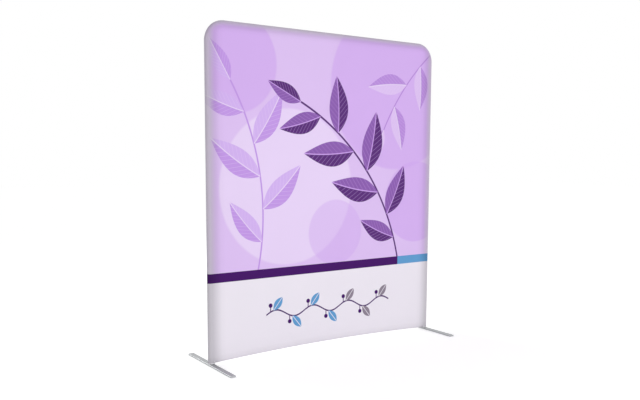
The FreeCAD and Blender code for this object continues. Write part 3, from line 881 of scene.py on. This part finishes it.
# %% Moulded finish
def moulded(name, scale, low, high, rough, bump=0.0, **constants):
    """A moulded material with a faint cloudiness. rough is the least roughness and its spread."""
    made = Finish(name, **constants)
    cloudy = made.noise(scale)
    if bump:
        made.feed(normal=made.raised(cloudy, bump))
    return made.feed(
        base_color=made.mix(cloudy, ink(*low), ink(*high)), roughness=rough[0] + rough[1] * cloudy
    )


moulded_teeth = moulded(
    "moulded_teeth", 400, (226, 226, 228), (238, 238, 240), (0.32, 0.12),
    specular_ior_level=0.5, coat_weight=0.1,
)
print("tooth finish", moulded_teeth.name)

# %% One tooth
CLOTH_MIDDLE = CLOTH_OUTSIDE - CLOTH_THICKNESS / 2
CLAMP_SIZE, CLAMP_RISE = (0.0017, 0.00196, 0.0018), 0.0002
HEAD_SIZE, HEAD_RISE = (0.00125, 0.0015, 0.0031), 0.00235
TOOTH_EASE = 0.0003


def tooth_block(bm, middle, size):
    """A small block with eased edges."""
    cube = bmesh.ops.create_cube(bm, size=1.0)
    bmesh.ops.scale(bm, verts=cube["verts"], vec=size)
    bmesh.ops.translate(bm, verts=cube["verts"], vec=middle)
    keep = set(cube["verts"])
    edges = [edge for edge in bm.edges if keep.issuperset(edge.verts)]
    bmesh.ops.bevel(
        bm, geom=edges, affect="EDGES", offset=TOOTH_EASE, segments=1, profile=0.5, material=-1
    )


def tooth(bm, lower, with_head):
    """A clamp on the tape's edge, and a head that reaches into the other row's gap. Returns all
    its parts."""
    before = set(everything(bm))
    way = 1 if lower else -1
    edge_z = RAIL_MIDDLE_Z + (TAPE_WIDTH if lower else ZIP_HEIGHT - TAPE_WIDTH)
    tooth_block(bm, Vector((0, CLOTH_MIDDLE, edge_z + way * CLAMP_RISE)), CLAMP_SIZE)
    if with_head:
        tooth_block(bm, Vector((0, CLOTH_MIDDLE, edge_z + way * HEAD_RISE)), HEAD_SIZE)
    return [part for part in everything(bm) if part not in before]


print("the teeth's edges are eased by", TOOTH_EASE * 1000, "mm")

# %% Rows of teeth
TOOTH_PITCH = 0.0028
CHAIN_START = -0.92895
PARTED_START = CHAIN_START + 661 * TOOTH_PITCH
CHAIN_END = PARTED_START + 5 * TOOTH_PITCH


def repeated_along(bm, parts, start, end, pitch):
    """Copies parts of the bmesh along the rail, one copy each pitch."""
    steps = int((end - start) / pitch + 0.01)
    turned_to(bm, parts, start + pitch / 2)
    bmesh.ops.spin(
        bm,
        geom=parts,
        cent=BOW_CENTRE,
        axis=Y_AXIS,
        angle=(steps - 1) * pitch / BOW_RADIUS,
        steps=steps - 1,
        use_duplicate=True,
    )
    return steps


def tooth_row(lower):
    """A closed row, and at its open end a few teeth without a head."""
    bm = bmesh.new()
    offset = 0 if lower else TOOTH_PITCH / 2
    closed = tooth(bm, lower, with_head=True)
    count = repeated_along(bm, closed, CHAIN_START + offset, PARTED_START + offset, TOOTH_PITCH)
    parted = tooth(bm, lower, with_head=False)
    count += repeated_along(bm, parted, PARTED_START + offset, CHAIN_END, TOOTH_PITCH)
    print("teeth", count)
    return bm


for node, lower in (("zip_teeth_lower", True), ("zip_teeth_upper", False)):
    row = tooth_row(lower)
    piece = made_piece(node + "_moulded", row, moulded_teeth, "zip_teeth", smooth=False)
    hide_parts(node)

# %% [markdown]
# Stitches
#
# Two rows of thread hold the cloth's hems on the tapes. A stitch shows as a short rounded bar that
# dips into the cloth at both ends. A true twisted thread would be heavy and look the same, so a
# stitch is one six-sided bar with pinched ends, repeated along the rail.

# %% Stitch rows
STITCH_PITCH = 0.0034
STITCH_LENGTH, STITCH_RADIUS = 0.0024, 0.00028
STITCH_PINCH, STITCH_DIP = 0.6, 0.0003
THREAD_OUT = 0.0001
HEM_STITCHES_IN = 0.002
THREAD_TWIST = 9000


def thread_finish():
    """Twisted white thread."""
    thread = Finish("thread", specular_ior_level=0.3, roughness=0.6)
    twist = thread.maths("SINE", (thread.x + thread.z) * THREAD_TWIST)
    tone = thread.mix(0.5 + 0.5 * twist, ink(214, 212, 218), ink(240, 239, 242))
    return thread.feed(base_color=tone)


def stitch_bar(bm):
    """One stitch along X at the origin, with its face towards +Y."""
    bar = bmesh.ops.create_cone(
        bm,
        cap_ends=True,
        segments=6,
        radius1=STITCH_RADIUS,
        radius2=STITCH_RADIUS,
        depth=STITCH_LENGTH,
    )
    lying = Matrix.Rotation(math.pi / 2, 3, "Y")
    bmesh.ops.rotate(bm, verts=bar["verts"], cent=(0, 0, 0), matrix=lying)
    sides = [edge for edge in bm.edges if edge.calc_length() > STITCH_LENGTH / 2]
    bmesh.ops.subdivide_edges(bm, edges=sides, cuts=2)
    for point in bm.verts:
        if abs(point.co.x) > STITCH_LENGTH * 0.45:
            point.co.y = point.co.y * STITCH_PINCH - STITCH_DIP
            point.co.z *= STITCH_PINCH


def stitch_row(rise):
    """A row along the rail, at a height above its centreline."""
    bm = bmesh.new()
    stitch_bar(bm)
    out = CLOTH_OUTSIDE + HEM_RISE + THREAD_OUT
    bmesh.ops.translate(bm, verts=bm.verts, vec=(0, out, RAIL_MIDDLE_Z + rise))
    repeated_along(bm, everything(bm), -ZIP_END, ZIP_END, STITCH_PITCH)
    return bm


white_thread = thread_finish()
for name, rise in (
    ("hem_stitches_lower", HEM_WIDTH - HEM_STITCHES_IN),
    ("hem_stitches_upper", ZIP_HEIGHT - HEM_WIDTH + HEM_STITCHES_IN),
):
    made_piece(name, stitch_row(rise), white_thread, "plain_cloth")

# %% [markdown]
# The bound edges
#
# Where the cover ends above the feet, its cut edge would fray, so a narrow tape is folded over it
# and sewn down. The fold is a small U across the edge. For the lower edge it is drawn along the
# back of the flap, spun round the tube and drawn along the front. For the two upright edges it is
# drawn up from the corner. Solidify then gives the tape its thickness.

# %% Bound edges
BINDING_WIDTH = 0.007
BINDING_OUT = 0.0007
BINDING_THICKNESS = 0.0004
BOUND_LOW = COVER_FOOT_Z - 0.0005
FOLD_ACROSS, FOLD_ALONG = 0.0005, 0.0008
# How far the upright tape lies past the lower one: out from the cloth, down, and over its edge.
PAST_OUT, PAST_DOWN, PAST_EDGE = 0.0002, 0.0002, 0.0005
ROUND_STEPS = 20


def fold_section(bm, corner, along, inwards):
    """The open U of a folded tape: outside leg, fold, inside leg. along points into the cloth."""
    far_side = inwards * (CLOTH_THICKNESS + 2 * BINDING_OUT)
    places = (
        corner + along * BINDING_WIDTH,
        corner + along * FOLD_ALONG,
        corner + inwards * FOLD_ACROSS,
        corner + far_side - inwards * FOLD_ACROSS,
        corner + far_side + along * FOLD_ALONG,
        corner + far_side + along * BINDING_WIDTH,
    )
    return chained(bm, places)


def lower_binding():
    """The tape over the flap's lower edge, from the back's corner round the tube to the front's."""
    bm = bmesh.new()
    corner = Vector((-FLAP_X, CLOTH_OUTSIDE + BINDING_OUT, BOUND_LOW))
    edges = fold_section(bm, corner, Vector(Z_AXIS), Vector((0, -1, 0)))
    step = (UPRIGHT_X - FLAP_X) / 3
    edges = drawn_out(bm, edges, [(-step, 0, 0)] * 3)
    points = list({end for edge in edges for end in edge.verts})
    spun = bmesh.ops.spin(
        bm,
        geom=points + edges,
        cent=(-UPRIGHT_X, 0, 0),
        axis=Z_AXIS,
        angle=math.pi,
        steps=ROUND_STEPS,
    )
    drawn_out(bm, only(bmesh.types.BMEdge, spun["geom_last"]), [(step, 0, 0)] * 3)
    return bm


def upright_binding(bm, front):
    """The tape over a flap's upright edge, up to the line where the cloth leaves the flap. It lies
    a little outside the lower tape, which it crosses."""
    top = bow_height(FLAP_X, 0.0 if front < 0 else ZIP_HEIGHT)
    out = CLOTH_OUTSIDE + BINDING_OUT + PAST_OUT
    corner = Vector((-FLAP_X + PAST_EDGE, front * out, BOUND_LOW - PAST_DOWN))
    edges = fold_section(bm, corner, Vector((-1, 0, 0)), Vector((0, -front, 0)))
    drawn_out(bm, edges, [(0, 0, (top - corner.z) / 4)] * 4)


bm = lower_binding()
for front in (-1, 1):
    upright_binding(bm, front)
mirrored(bm)
bmesh.ops.recalc_face_normals(bm, faces=bm.faces)
binding = made_piece("flap_binding", bm, woven_tape, "plain_cloth")
with_thickness(binding, BINDING_THICKNESS)

# %% [markdown]
# Patches at the zip's ends
#
# The zip's tapes end beside the flaps, where the slider stops. A small patch of the plain cloth is
# sewn over each end, so that no tape end shows and the slider can't run off. It is a short strip
# that follows the rail, with its edges turned under, so they stand a little lower than its middle.

# %% End patches
PATCH_INNER, PATCH_OUTER = 0.0085, 0.0045
PATCH_OVERLAP, PATCH_THICKNESS, PATCH_LIFT = 0.0015, 0.0005, 0.0013
# Places up the patch, and how far each stands out over the hem.
PATCH_PROFILE = (
    (0.0, 0.0002), (0.06, 0.0012), (0.14, 0.0015), (0.3, PATCH_LIFT), (0.5, PATCH_LIFT),
    (0.7, PATCH_LIFT), (0.86, 0.0015), (0.94, 0.0012), (1.0, 0.0002),
)
EDGE_DROP, EDGE_REACH = 0.0010, 0.0016
PATCH_STEPS = 8


def end_patch(side):
    """A patch from the flap to just before the zip's stop."""
    bm = bmesh.new()
    height = ZIP_HEIGHT + 2 * PATCH_OVERLAP
    hem_y = CLOTH_OUTSIDE + HEM_RISE
    chained(
        bm,
        [
            RAIL_TOP + Vector((0, hem_y + lift, share * height - PATCH_OVERLAP))
            for share, lift in PATCH_PROFILE
        ],
    )
    start, end = side * (FLAP_BOW - PATCH_INNER), side * (FLAP_BOW + PATCH_OUTER)
    swept_along(bm, start, end, PATCH_STEPS)
    for point in bm.verts:
        place = math.asin(point.co.x / BOW_RADIUS) * BOW_RADIUS
        near = min(abs(place - start), abs(end - place))
        point.co.y -= EDGE_DROP * max(0.0, 1 - near / EDGE_REACH)
    faced(bm, 1)
    return bm


patches = [
    with_thickness(
        made_piece("zip_end_patch_" + name, end_patch(side), plain_cloth, "plain_cloth"),
        PATCH_THICKNESS,
    )
    for name, side in (("left", -1), ("right", 1))
]

# %% [markdown]
# Stitches that follow a path
#
# The bound edges and the patches are sewn on with the same thread. Their rows turn corners, so here
# one stitch is kept as a small mesh, and a copy is set down at each place of a path, turned to the
# path's direction and to the way the cloth faces.

# %% Places of the stitches
# How far the rows lie in from the tape's and the patch's edges.
BINDING_ROW, UPRIGHT_ROW, PATCH_ROW = 0.0012, 0.0017, 0.0018
# Where the upright rows start above the lower row and end below the flap's top.
ROW_START, ROW_END = 0.002, 0.001
PATCH_STITCHES, PATCH_ROW_START = 8, 0.003


def lower_places():
    """Places, directions and facings of the stitches round the left flap's lower edge."""
    out_by = CLOTH_OUTSIDE + 2 * BINDING_OUT + THREAD_OUT
    row_z = BOUND_LOW + BINDING_WIDTH - BINDING_ROW
    straight = UPRIGHT_X - FLAP_X
    turn_length = math.pi * out_by
    total = 2 * straight + turn_length
    count = int(total / STITCH_PITCH)
    for index in range(count):
        gone = (index + 0.5) * total / count
        angle = min(max((gone - straight) / out_by, 0), math.pi)
        out = Vector((-math.sin(angle), math.cos(angle), 0))
        along = Vector((-math.cos(angle), -math.sin(angle), 0))
        past = min(gone - straight, 0) + max(gone - straight - turn_length, 0)
        yield Vector((-UPRIGHT_X, 0, row_z)) + out * out_by + along * past, along, out


def upright_places():
    """The same for the two upright edges of the left flaps."""
    out_by = CLOTH_OUTSIDE + 2 * BINDING_OUT + PAST_OUT + THREAD_OUT
    row_z = BOUND_LOW + BINDING_WIDTH - BINDING_ROW
    for front, rise in ((-1, 0.0), (1, ZIP_HEIGHT)):
        top = bow_height(FLAP_X, rise) - ROW_END
        for index in range(int((top - row_z) / STITCH_PITCH)):
            z = row_z + ROW_START + index * STITCH_PITCH
            place = Vector((-FLAP_X - BINDING_WIDTH + UPRIGHT_ROW, front * out_by, z))
            yield place, Vector(Z_AXIS), Vector((0, front, 0))


def patch_places():
    """The same down both sides of the left patch."""
    out = Vector((0, CLOTH_OUTSIDE + HEM_RISE + PATCH_LIFT + THREAD_OUT, 0))
    for reach in (FLAP_BOW - PATCH_INNER + PATCH_ROW, FLAP_BOW + PATCH_OUTER - PATCH_ROW):
        angle = -reach / BOW_RADIUS
        up = Vector((math.sin(angle), 0, math.cos(angle)))
        for index in range(PATCH_STITCHES):
            rise = PATCH_ROW_START + index * STITCH_PITCH
            yield BOW_CENTRE + up * (BOW_RADIUS + rise) + out, up, Vector(Y_AXIS)


print("patch stitches", len(list(patch_places())), "on the left")


# %% Stitches on the bindings and patches
def set_down(bm, mesh, place, along, out):
    """Adds one stitch at a place. out is the way the cloth faces there."""
    before = len(bm.verts)
    bm.from_mesh(mesh)
    bm.verts.ensure_lookup_table()
    turned = Matrix((along, out, out.cross(along))).transposed().to_4x4()
    moved = Matrix.Translation(place) @ turned
    bmesh.ops.transform(bm, matrix=moved, verts=bm.verts[before:])


one_stitch = bpy.data.meshes.new("one_stitch")
bm = bmesh.new()
stitch_bar(bm)
bm.to_mesh(one_stitch)
bm.clear()
for places in (lower_places(), upright_places(), patch_places()):
    for place, along, out in places:
        set_down(bm, one_stitch, place, along, out)
mirrored(bm)
bmesh.ops.recalc_face_normals(bm, faces=bm.faces)
print("stitches on bindings and patches", len(bm.verts) // len(one_stitch.vertices))
made_piece("binding_stitches", bm, white_thread, "plain_cloth")

# %% [markdown]
# The cut of the cloth
#
# The knit stretches about two percent each way when the cover is pulled over the frame and zipped
# up.
# Here only the length of the bound edges is worked out.

bound_length = 2 * (2 * (UPRIGHT_X - FLAP_X) + math.pi * (CLOTH_OUTSIDE + BINDING_OUT))
bound_length += 2 * sum(bow_height(FLAP_X, rise) - BOUND_LOW for rise in (0.0, ZIP_HEIGHT))

# %% [markdown]
# Metal, rubber and plastic
#
# The frame's own pieces keep their CAD shape and get a finish each: drawn and anodised tube, turned
# plugs, zinc plated screws, powder coated feet. What sets metals apart is how rough they are and in
# which direction, so each finish has its own grain.


# %% Metal finishes
FOOT_LENGTH, FOOT_WIDTH = 0.648, 0.040
GRAIN_HEIGHT, PEEL_HEIGHT = 0.00002, 0.00006
WEAR_NEAR, WEAR_FAR = 0.0008, 0.0020


def drawn_metal(name, low, high, rough, stretch, scale):
    """Metal with fine lines along the way it was drawn or brushed."""
    metal = Finish(name, metallic=1.0)
    lines = metal.noise(scale, detail=3.0, stretch=stretch)
    cloudy = metal.noise(9.0)
    return metal.feed(
        base_color=metal.mix(lines * 0.7 + cloudy * 0.3, ink(*low), ink(*high)),
        roughness=rough - 0.06 + 0.12 * lines,
        normal=metal.raised(lines, GRAIN_HEIGHT),
    )


def coated_metal():
    """Silver powder coat: a fine orange peel over metallic grey, rubbed paler where edges wear."""
    coat = Finish("silver_coat", metallic=0.8, specular_ior_level=0.5)
    peel = coat.noise(900)
    cloudy = coat.noise(14, detail=3.0)
    fleck = coat.smooth(coat.noise(3500, detail=0.0), 0.62, 0.72)
    tone = coat.mix(cloudy, ink(162, 164, 166), ink(175, 177, 179))
    tone = coat.mix(0.35 * fleck, tone, ink(226, 228, 231))
    from_end = FOOT_LENGTH / 2 - abs(coat.y)
    from_side = FOOT_WIDTH / 2 - abs(abs(coat.x) - UPRIGHT_X)
    inwards = coat.maths("MINIMUM", from_end, from_side) + 0.0012 * coat.noise(160)
    worn = coat.falling(inwards, WEAR_NEAR, WEAR_FAR) * coat.smooth(coat.noise(45), 0.38, 0.62)
    return coat.feed(
        base_color=coat.mix(0.2 * worn, tone, ink(206, 208, 211)),
        roughness=0.33 + 0.1 * cloudy - 0.08 * worn,
        normal=coat.raised(peel, PEEL_HEIGHT),
    )


print("the coat wears off over", WEAR_FAR * 1000, "mm")

# %% All the rigid finishes
EVEN = (1, 1, 1)
# Each metal's two tones, its roughness, and how its grain is stretched and scaled.
METALS = {
    "upright_tube": ((196, 196, 199), (214, 214, 217), 0.34, (1, 1, 0.01), 1500),
    "rail_tube": ((196, 196, 199), (214, 214, 217), 0.34, (0.01, 1, 1), 1500),
    "mill_metal": ((186, 186, 188), (208, 208, 210), 0.3, EVEN, 900),
    "turned_metal": ((190, 190, 193), (212, 212, 214), 0.26, (1, 1, 0.05), 2200),
    "zinc": ((166, 170, 172), (196, 198, 196), 0.3, EVEN, 260),
    "rivet_metal": ((204, 204, 206), (222, 222, 224), 0.28, EVEN, 1200),
    "nickel": ((182, 180, 176), (206, 204, 200), 0.18, EVEN, 600),
    "spring_strip": ((112, 116, 124), (150, 152, 158), 0.28, EVEN, 900),
}
finishes = {name: drawn_metal(name, *row) for name, row in METALS.items()}
finishes["silver_coat"] = coated_metal()
finishes["pad_rubber"] = moulded(
    "pad_rubber", 1800, (34, 34, 36), (52, 52, 54), (0.75, 0.1), 0.0001, specular_ior_level=0.3
)
finishes["black_nylon"] = moulded(
    "black_nylon", 700, (38, 38, 41), (50, 50, 53), (0.45, 0.15), specular_ior_level=0.4
)
print("finishes", len(finishes))

# %% Dress the CAD nodes
FINISH_OF = {
    "upright_tube": ("lower_upright", "corner_pole"),
    "rail_tube": ("top_rail", "bottom_rail"),
    "mill_metal": tuple(name for name in nodes if name.endswith("_sleeve")),
    "turned_metal": ("end_plug", "rail_stub"),
    "zinc": ("stub_bolts", "foot_screw"),
    "silver_coat": ("foot_plate",),
    "pad_rubber": ("foot_pads",),
    "black_nylon": ("foot_washer",),
    "rivet_metal": ("sleeve_rivets",),
    "nickel": ("snap_button", "zip_stops", "zip_slider", "zip_pull"),
    "spring_strip": ("leaf_spring",),
}
dressed = 0
for finish, starts in FINISH_OF.items():
    for name in nodes:
        if name.startswith(starts):
            nodes[name].data.materials.clear()
            nodes[name].data.materials.append(finishes[finish])
            dressed += 1
print("CAD nodes with a finish", dressed)

# %% [markdown]
# Cast and stamped zip parts
#
# A slider is a zinc casting, tumbled until every edge is soft, and its pull tab is stamped with a
# shallow panel on both faces. The CAD solids have sharp edges, so each is copied, its loose
# triangles are merged and dissolved into flat faces, and the edges between them are bevelled. The
# bevel catches a thin line of light, which is what makes so small a part read as metal.

# %% Eased copies
PANEL_DEPTH = 0.0002
SHARP = math.radians(50)


def merged_copy(name):
    """A CAD node's mesh in a bmesh, with its loose triangles joined."""
    bm = bmesh.new()
    bm.from_mesh(nodes[name].data)
    bmesh.ops.remove_doubles(bm, verts=bm.verts, dist=1e-6)
    return bm


def eased_copy(name, body, offset, panel):
    """A copy of a CAD solid with soft edges and, where a panel width is given, a sunk panel on its
    two largest faces.
    """
    bm = merged_copy(name)
    flat = math.radians(1)
    bmesh.ops.dissolve_limit(bm, angle_limit=flat, verts=bm.verts, edges=bm.edges)
    if panel:
        largest = sorted(bm.faces, key=lambda face: face.calc_area())[-2:]
        bmesh.ops.inset_individual(bm, faces=largest, thickness=panel, depth=0)
        bmesh.ops.inset_individual(bm, faces=largest, thickness=PANEL_DEPTH, depth=-PANEL_DEPTH)
    bmesh.ops.bevel(
        bm,
        geom=[edge for edge in bm.edges if edge.calc_face_angle(0) > SHARP],
        affect="EDGES",
        offset=offset,
        segments=2,
        profile=0.5,
        material=-1,
        clamp_overlap=True,
    )
    piece = made_piece(name + "_eased", bm, finishes["nickel"], "zip_metal", body, smooth=False)
    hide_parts(name)


for name, body, offset, panel in (
    ("zip_slider", "slider", 0.00022, 0.0),
    ("zip_pull", "pull_tab", 0.00016, 0.0007),
    ("zip_stops", "frame", 0.0002, 0.0),
):
    eased_copy(name, body, offset, panel)

# %% [markdown]
# Leaf spring copies
#
# A leaf spring's leg stays on the sleeve's far wall while its other end is pushed in by the button.
# Here each spring is a copy of its CAD solid with its long edges cut shorter, set in place and not
# bent.

# %% Spring copies
LONG_EDGE = 0.004


def bending_spring(name):
    """A copy of a leaf spring, with its long edges cut shorter, set in place."""
    button = name.replace("leaf_spring_", "button_")
    joint = next(found for found in frame["joints"] if found["child"] == button)
    press = Vector(joint["axis"]).normalized()
    bm = merged_copy(name)
    long_edges = [edge for edge in bm.edges if edge.calc_length() > LONG_EDGE]
    bmesh.ops.subdivide_edges(bm, edges=long_edges, cuts=3, use_grid_fill=True)
    strip = made_piece(name + "_strip", bm, finishes["spring_strip"], "spring_steel", None, None)
    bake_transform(strip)
    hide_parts(name)


for name in nodes:
    if name.startswith("leaf_spring_"):
        bending_spring(name)

# %% [markdown]
# Floor and light
#
# A pale floor catches a soft shadow. The room and the floor are near white to the camera and to
# what mirrors them, while their light on the object stays at a plain level, so that each colour
# renders about as it is written. Two wide lamps, one in front and one behind, give the round edges
# their shade.

# %% Room
scene = bpy.context.scene
scene.view_settings.view_transform = "Standard"
WHITE = (1, 1, 1, 1)
ROOM_FILL = 0.62


def seen_directly(shade):
    """1 for the rays that should see plain white: the camera's, and those of gloss and glass."""
    rays = shade.node("LightPath", {}).outputs
    total = Reading(shade, rays["Is Camera Ray"])
    for name in ("Is Glossy Ray", "Is Transmission Ray"):
        total = total + Reading(shade, rays[name])
    return shade.maths("MINIMUM", total, 1)


world = bpy.data.worlds.new("room")
scene.world = world
world.use_nodes = True
room = Shade(world.node_tree)
fill = room.node("Background", {"Color": WHITE, "Strength": ROOM_FILL})
white = room.node("Background", {"Color": WHITE, "Strength": 1.0})
choice = room.node("MixShader", {0: seen_directly(room), 1: fill.outputs[0], 2: white.outputs[0]})
room.join(choice.outputs[0], room.tree.nodes["World Output"].inputs[0])
print("room light", ROOM_FILL)

# %% Floor
FLOOR_SIZE = 30.0
FLOOR_TONE = (0.94, 0.94, 0.94, 1)
NEAR_GLOW, FAR_GLOW = 0.34, 0.42
GLOW_START, GLOW_END = 1.2, 5.5

bm = bmesh.new()
bmesh.ops.create_grid(bm, x_segments=2, y_segments=2, size=FLOOR_SIZE)
floor_mesh = bpy.data.meshes.new("floor")
bm.to_mesh(floor_mesh)
bm.free()
in_scene("floor", floor_mesh)
pale = Finish("floor", base_color=FLOOR_TONE, roughness=0.9, specular_ior_level=0.0)
far_off = pale.smooth(pale.reach(pale.x, pale.y), GLOW_START, GLOW_END)
share = seen_directly(pale) * (NEAR_GLOW + (FAR_GLOW - NEAR_GLOW) * far_off)
glow = pale.node("Emission", {"Color": WHITE, "Strength": 1.0})
lift = pale.node("MixShader", {0: share, 2: glow.outputs[0]})
both = pale.node("AddShader", {0: pale.shader.outputs[0], 1: lift.outputs[0]})
pale.join(both.outputs[0], pale.tree.nodes["Material Output"].inputs[0])
floor_mesh.materials.append(pale.material)
print("floor", 2 * FLOOR_SIZE, "m across")


# %% Lamps
def soft_lamp(name, place, target, power, size=3.0):
    """A wide square lamp that looks at a point."""
    lamp = in_scene(name, bpy.data.lights.new(name, "AREA"))
    lamp.data.size, lamp.data.energy = size, power
    lamp.location = place
    lamp.rotation_euler = (Vector(target) - Vector(place)).to_track_quat("-Z", "Y").to_euler()


soft_lamp("front_lamp", (0.2, -6.5, 1.3), (0, 0, 1.2), 165)
soft_lamp("back_lamp", (-2.2, 5.8, 3.6), (0, 0, 1.0), 175)
print("lamps", [light.name for light in bpy.data.lights])
